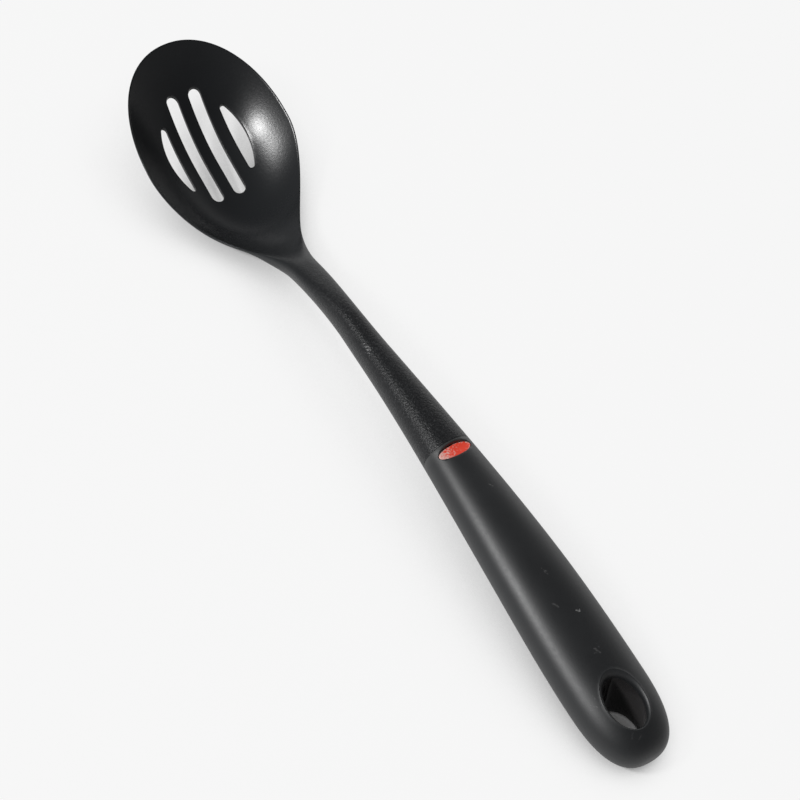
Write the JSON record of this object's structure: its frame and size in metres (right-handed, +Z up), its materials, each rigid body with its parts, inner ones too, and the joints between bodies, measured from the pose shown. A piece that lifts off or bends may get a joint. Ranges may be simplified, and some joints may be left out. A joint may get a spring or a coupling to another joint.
{
  "type": "slotted spoon",
  "caption": "Long kitchen spoon for lifting food out of liquid: egg-shaped slotted bowl on an arched oval neck, soft oval grip with a red inlay at its front and a hanging eye at its end.",
  "frame": {"origin": "middle of the bounding box on the table that the spoon lies on", "axes": "+X along the spoon from bowl tip to grip end, +Y across, +Z up out of the hollow of the bowl"},
  "size_m": [0.343, 0.065, 0.0379],
  "materials": {
    "nylon": "satin black nylon, grainy on the neck",
    "core": "smooth black plastic, seen only inside the hanging eye",
    "soft": "smooth worn black soft plastic",
    "red": "bare red plastic with a worn pale end"
  },
  "bodies": {
    "root": {"spoon_head": "nylon", "handle_core": "core", "soft_grip": "soft", "badge_inlay": "red"}
  },
  "joints": []
}
